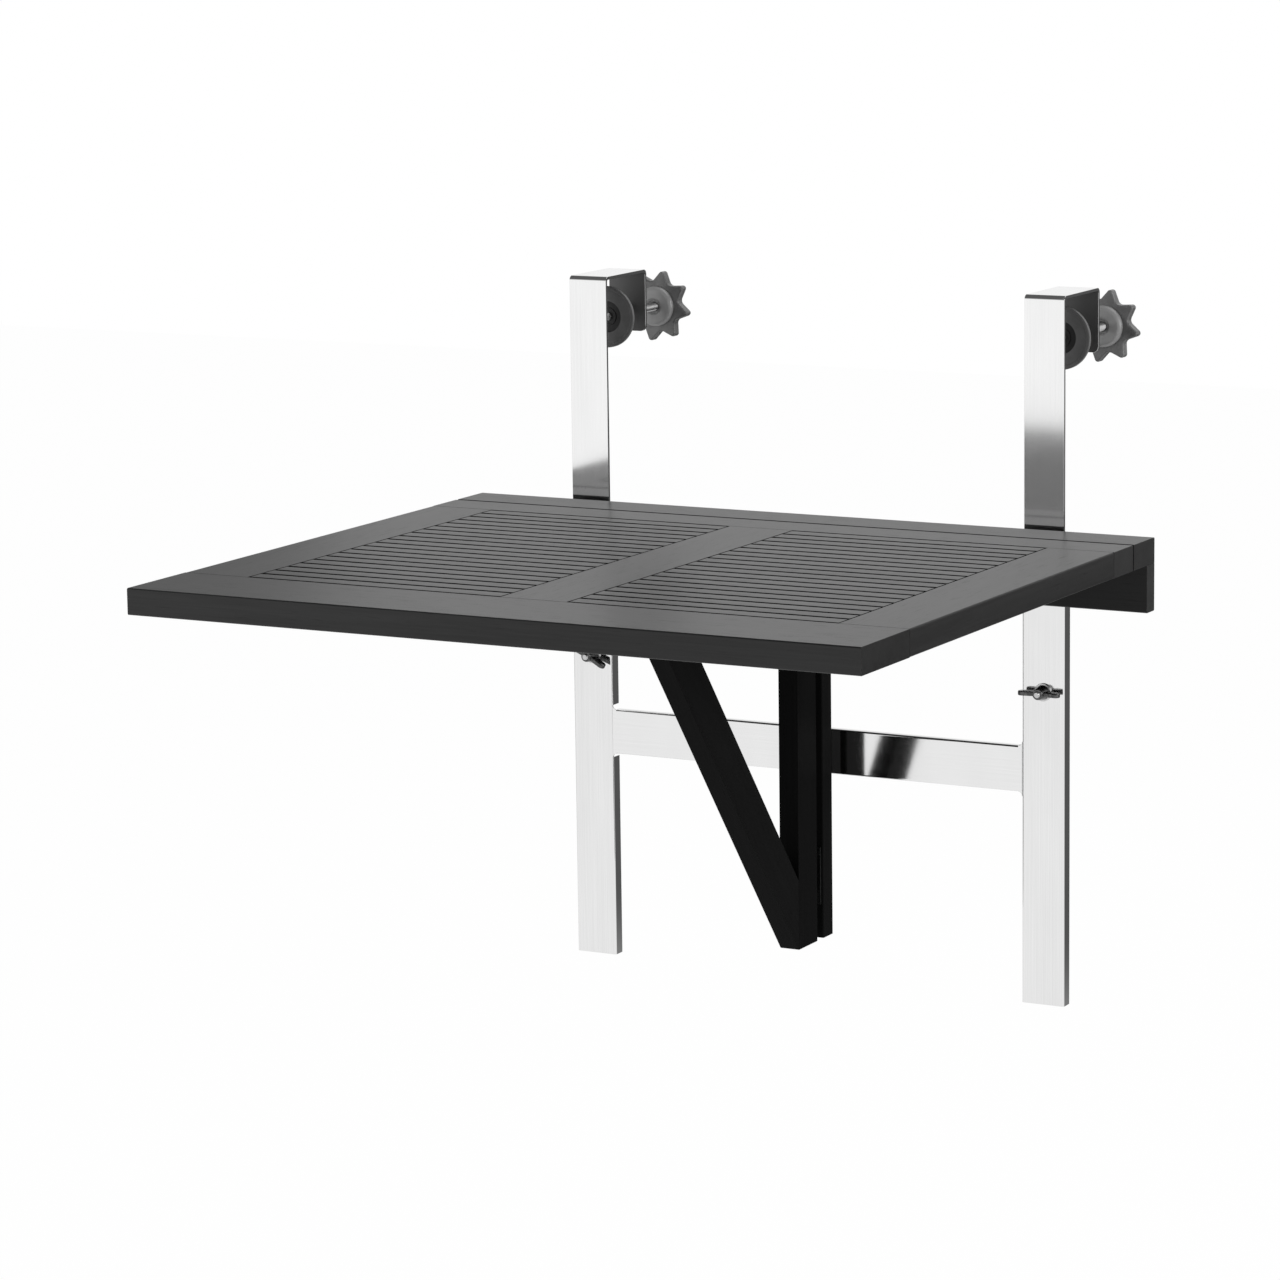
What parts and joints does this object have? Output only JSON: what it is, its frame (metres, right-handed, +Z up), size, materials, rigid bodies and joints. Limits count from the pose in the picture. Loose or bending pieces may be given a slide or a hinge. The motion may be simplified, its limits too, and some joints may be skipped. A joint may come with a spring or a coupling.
{
  "type": "railing-hung folding balcony table",
  "caption": "Slatted wooden table top that hangs on a balcony railing by two clamped steel hooks, height adjustable on a folded steel frame, with a swinging wooden bracket.",
  "frame": {"origin": "top of the railing's front face, midway between the two hooks: level with the undersides of the hooks' bridges and flush with the backs of their front legs", "axes": "+X to the right along the railing as seen from the seat, +Y over the railing, away from the table, +Z up"},
  "size_m": [0.71, 0.7819, 0.671],
  "materials": {
    "stained_wood": "black stain, satin",
    "plain_dowel": "plain",
    "polished_steel": "polished, with fine lengthwise streaks",
    "zinc_steel": "zinc plated",
    "hinge_steel": "black coated",
    "cast_nut": "dark cast steel",
    "pad_plastic": "matt",
    "knob_plastic": "moulded"
  },
  "bodies": {
    "hooks": {"left_hook": "polished_steel", "right_hook": "polished_steel", "clamp_nuts": "zinc_steel"},
    "table_frame": {"ledger_strip": "stained_wood", "ledger_board": "stained_wood", "ledger_dowels": "plain_dowel", "ledger_studs": "zinc_steel", "ledger_spacers": "zinc_steel", "ledger_nuts": "zinc_steel", "left_upright": "polished_steel", "right_upright": "polished_steel", "crossbar": "polished_steel", "rear_post": "stained_wood", "post_screws": "zinc_steel", "panel_hinge_fixed_leaves": "hinge_steel", "panel_hinge_pins": "zinc_steel", "panel_hinge_fixed_screws": "zinc_steel", "bracket_hinge_fixed_leaves": "hinge_steel", "bracket_hinge_pins": "zinc_steel", "bracket_hinge_fixed_screws": "zinc_steel", "lock_bolts": "zinc_steel"},
    "panel": {"front_rail": "stained_wood", "back_rail": "stained_wood", "left_stile": "stained_wood", "right_stile": "stained_wood", "middle_stile": "stained_wood", "slats_left": "stained_wood", "slats_right": "stained_wood", "panel_dowels": "plain_dowel", "panel_hinge_moving_leaves": "hinge_steel", "panel_hinge_moving_screws": "zinc_steel"},
    "bracket": {"gate_post": "stained_wood", "brace": "stained_wood", "brace_dowels": "plain_dowel", "bracket_hinge_moving_leaves": "hinge_steel", "bracket_hinge_moving_screws": "zinc_steel"},
    "left_disc": {"left_pressure_disc": "pad_plastic"},
    "left_screw": {"left_spindle": "zinc_steel", "left_star_knob": "knob_plastic"},
    "right_disc": {"right_pressure_disc": "pad_plastic"},
    "right_screw": {"right_spindle": "zinc_steel", "right_star_knob": "knob_plastic"},
    "left_washer": {"left_lock_washer": "zinc_steel"},
    "left_nut": {"left_wing_nut": "cast_nut"},
    "right_washer": {"right_lock_washer": "zinc_steel"},
    "right_nut": {"right_wing_nut": "cast_nut"}
  },
  "joints": [
    {"name": "height_adjust", "type": "slide", "parent": "hooks", "child": "table_frame", "axis": [0, 0, 1], "range_m": [-0.16, 0.06]},
    {"name": "panel_lift", "type": "hinge", "parent": "table_frame", "child": "panel", "pos_m": [0, -0.0645, -0.241], "axis": [-1, 0, 0], "range_deg": [0, 3]},
    {"name": "bracket_swing", "type": "hinge", "parent": "table_frame", "child": "bracket", "pos_m": [-0.004, -0.0307, -0.45], "axis": [0, 0, -1], "range_deg": [0, 90]},
    {"name": "left_clamp_slide", "type": "slide", "parent": "hooks", "child": "left_disc", "axis": [0, 1, 0], "range_m": [-0.0301, 0.0281]},
    {"name": "left_clamp_spin", "type": "hinge", "parent": "left_disc", "child": "left_screw", "pos_m": [-0.24, 0.05, -0.04], "axis": [0, 1, 0], "range_deg": [-8640, 8064]},
    {"name": "left_washer_slide", "type": "slide", "parent": "table_frame", "child": "left_washer", "axis": [0, -1, 0], "range_m": [0, 0.0041]},
    {"name": "left_nut_spin", "type": "hinge", "parent": "left_washer", "child": "left_nut", "pos_m": [-0.24, -0.012, -0.368], "axis": [0, -1, 0], "range_deg": [0, 1440]},
    {"name": "right_clamp_slide", "type": "slide", "parent": "hooks", "child": "right_disc", "axis": [0, 1, 0], "range_m": [-0.0301, 0.0281]},
    {"name": "right_clamp_spin", "type": "hinge", "parent": "right_disc", "child": "right_screw", "pos_m": [0.24, 0.05, -0.04], "axis": [0, 1, 0], "range_deg": [-8640, 8064]},
    {"name": "right_washer_slide", "type": "slide", "parent": "table_frame", "child": "right_washer", "axis": [0, -1, 0], "range_m": [0, 0.0041]},
    {"name": "right_nut_spin", "type": "hinge", "parent": "right_washer", "child": "right_nut", "pos_m": [0.24, -0.012, -0.368], "axis": [0, -1, 0], "range_deg": [0, 1440]}
  ],
  "couplings": [
    {"joint": "left_clamp_slide", "follows": "left_clamp_spin", "m_per_rad": 0.00019894},
    {"joint": "left_washer_slide", "follows": "left_nut_spin", "m_per_rad": 0.00015915},
    {"joint": "right_clamp_slide", "follows": "right_clamp_spin", "m_per_rad": 0.00019894},
    {"joint": "right_washer_slide", "follows": "right_nut_spin", "m_per_rad": 0.00015915}
  ]
}
